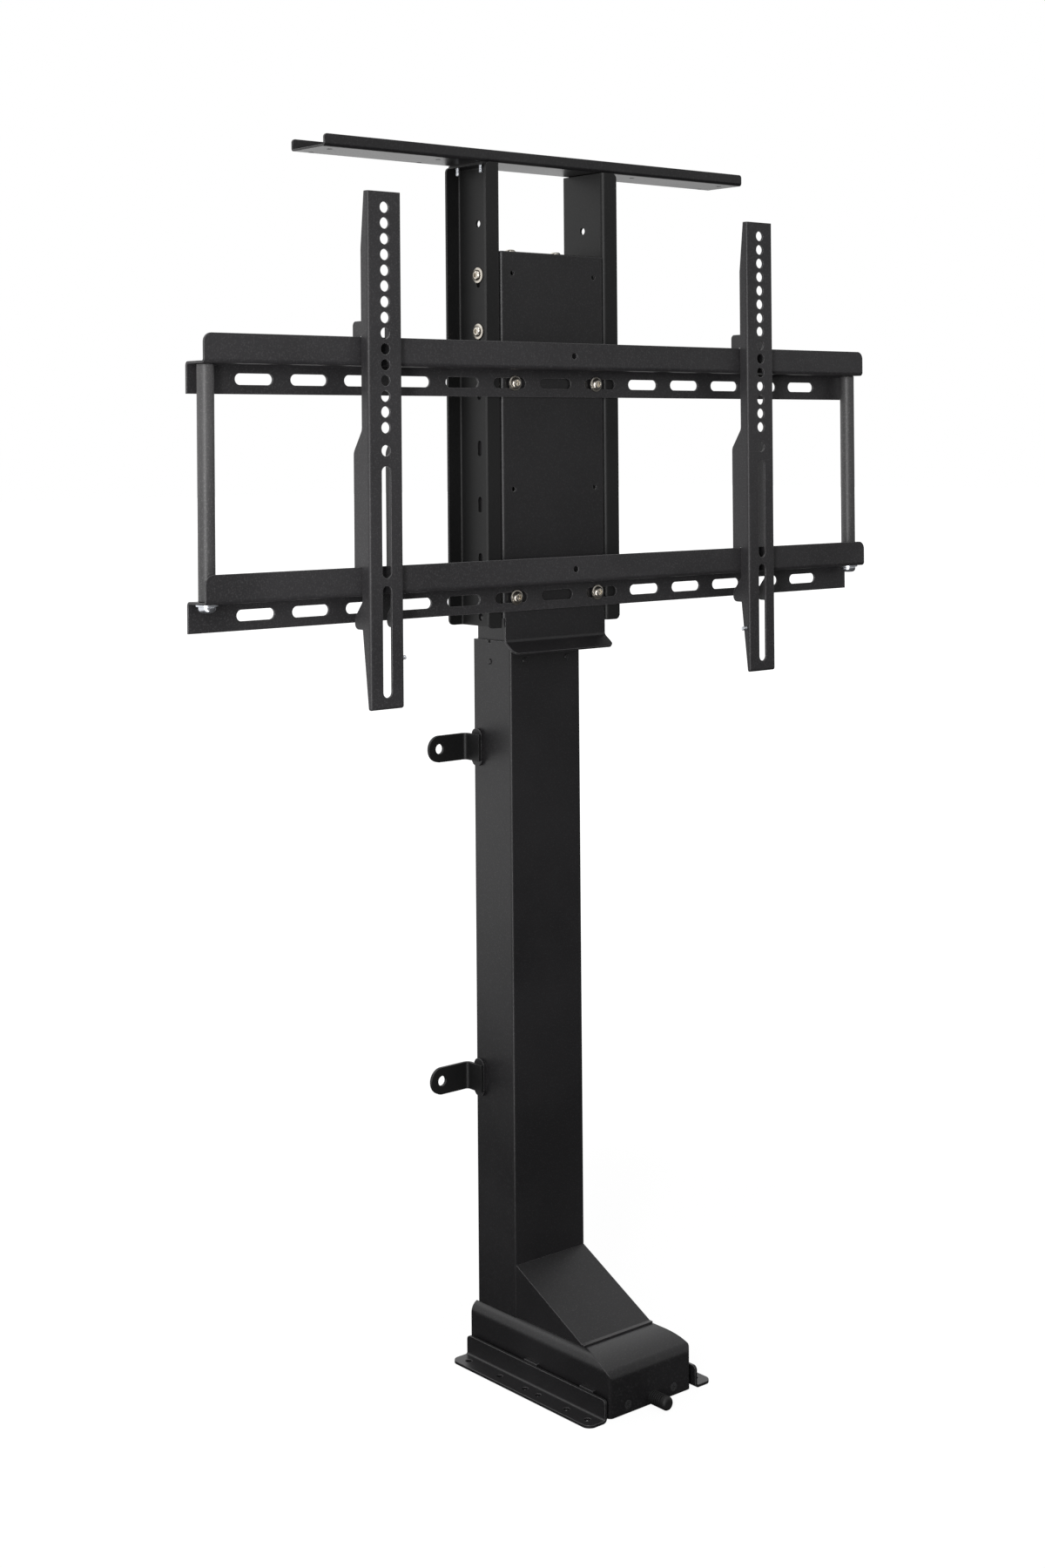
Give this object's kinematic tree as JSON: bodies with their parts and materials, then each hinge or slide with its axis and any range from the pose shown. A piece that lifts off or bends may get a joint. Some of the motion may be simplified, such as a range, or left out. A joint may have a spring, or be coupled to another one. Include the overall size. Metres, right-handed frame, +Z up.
{
  "type": "tv lift mechanism",
  "caption": "Motorised telescopic column on a floor foot that raises a carriage with slotted rails, hooked screen mounting arms and a lid bracket.",
  "frame": {"origin": "on the floor under the column's axis", "axes": "+Z up along the column, -Y towards the screen and the viewer, +X to the right seen from the front"},
  "size_m": [0.8, 0.2203, 1.1271],
  "materials": {
    "black_coat": "satin black powder coat",
    "strap_coat": "matt black powder coat",
    "black_screw": "black oxide",
    "zinc_plate": "bright zinc plate",
    "glide_plastic": "moulded black plastic",
    "nut_plastic": "natural acetal",
    "machined_steel": "turned and ground",
    "cast_housing": "die cast",
    "gear_brass": "cut brass",
    "motor_can": "painted steel can",
    "gland_rubber": "moulded rubber"
  },
  "bodies": {
    "base": {"base_plate": "black_coat", "outer_column": "black_coat", "column_liner": "glide_plastic", "liner_rivets": "black_coat", "foot_cover": "black_coat", "cover_screws": "black_screw", "wedge_housing": "black_coat", "floor_bracket_left": "black_coat", "floor_bracket_right": "black_coat", "bracket_spacers": "black_coat", "bracket_bolts": "black_screw", "wall_strap_upper_left": "strap_coat", "wall_strap_upper_right": "strap_coat", "wall_strap_lower_left": "strap_coat", "wall_strap_lower_right": "strap_coat", "strap_pads": "black_coat", "gearbox_housing": "cast_housing", "gearbox_lid": "cast_housing", "gearbox_screws": "zinc_plate", "spindle_bearings": "machined_steel", "worm_bearings": "machined_steel", "motor": "motor_can", "cable_gland": "gland_rubber"},
    "spindle": {"lift_spindle": "machined_steel", "spindle_sleeves": "machined_steel", "worm_wheel": "gear_brass"},
    "worm": {"worm_shaft": "machined_steel"},
    "middle": {"middle_column": "black_coat", "middle_liner": "glide_plastic", "middle_shoe": "glide_plastic", "middle_nut": "nut_plastic", "middle_nut_screws": "zinc_plate", "thrust_ring": "machined_steel", "tube_retainer": "machined_steel"},
    "tube": {"screw_tube": "machined_steel"},
    "carriage": {"inner_column": "black_coat", "inner_shoe": "glide_plastic", "inner_nut": "nut_plastic", "inner_nut_screws": "zinc_plate", "column_cap": "glide_plastic", "cap_screws": "zinc_plate", "carriage_shell": "black_coat", "upright_left": "black_coat", "upright_right": "black_coat", "upright_bolts": "zinc_plate", "carriage_nuts": "zinc_plate", "top_bracket": "black_coat", "top_bracket_screws": "zinc_plate", "rail_upper": "black_coat", "rail_lower": "black_coat", "rail_bolts": "zinc_plate", "post_left": "black_coat", "post_right": "black_coat", "post_screws": "zinc_plate", "post_washers": "zinc_plate"},
    "arm_left": {"arm_left": "black_coat", "arm_left_screw": "zinc_plate"},
    "arm_right": {"arm_right": "black_coat", "arm_right_screw": "zinc_plate"}
  },
  "joints": [
    {"name": "middle_slide", "type": "slide", "parent": "base", "child": "middle", "axis": [0, 0, 1], "range_m": [-0.179, 0.321]},
    {"name": "carriage_slide", "type": "slide", "parent": "middle", "child": "carriage", "axis": [0, 0, 1], "range_m": [-0.179, 0.321]},
    {"name": "spindle_turn", "type": "hinge", "parent": "base", "child": "spindle", "pos_m": [0, 0, 0.026], "axis": [0, 0, 1], "range_deg": [-9700, 5450]},
    {"name": "tube_turn", "type": "hinge", "parent": "middle", "child": "tube", "pos_m": [0, 0, 0.2], "axis": [0, 0, 1], "range_deg": [-9700, 5450]},
    {"name": "worm_turn", "type": "hinge", "parent": "base", "child": "worm", "pos_m": [0.0205, 0, 0.026], "axis": [0, 1, 0], "range_deg": [-109000, 194000]},
    {"name": "arm_left_slide", "type": "slide", "parent": "carriage", "child": "arm_left", "axis": [1, 0, 0], "range_m": [-0.135, 0.125]},
    {"name": "arm_right_slide", "type": "slide", "parent": "carriage", "child": "arm_right", "axis": [1, 0, 0], "range_m": [-0.133, 0.127]}
  ],
  "couplings": [
    {"joint": "carriage_slide", "follows": "middle_slide", "ratio": 1},
    {"joint": "spindle_turn", "follows": "middle_slide", "rad_per_m": -523.6},
    {"joint": "tube_turn", "follows": "middle_slide", "rad_per_m": -523.6},
    {"joint": "worm_turn", "follows": "middle_slide", "rad_per_m": 10472}
  ]
}
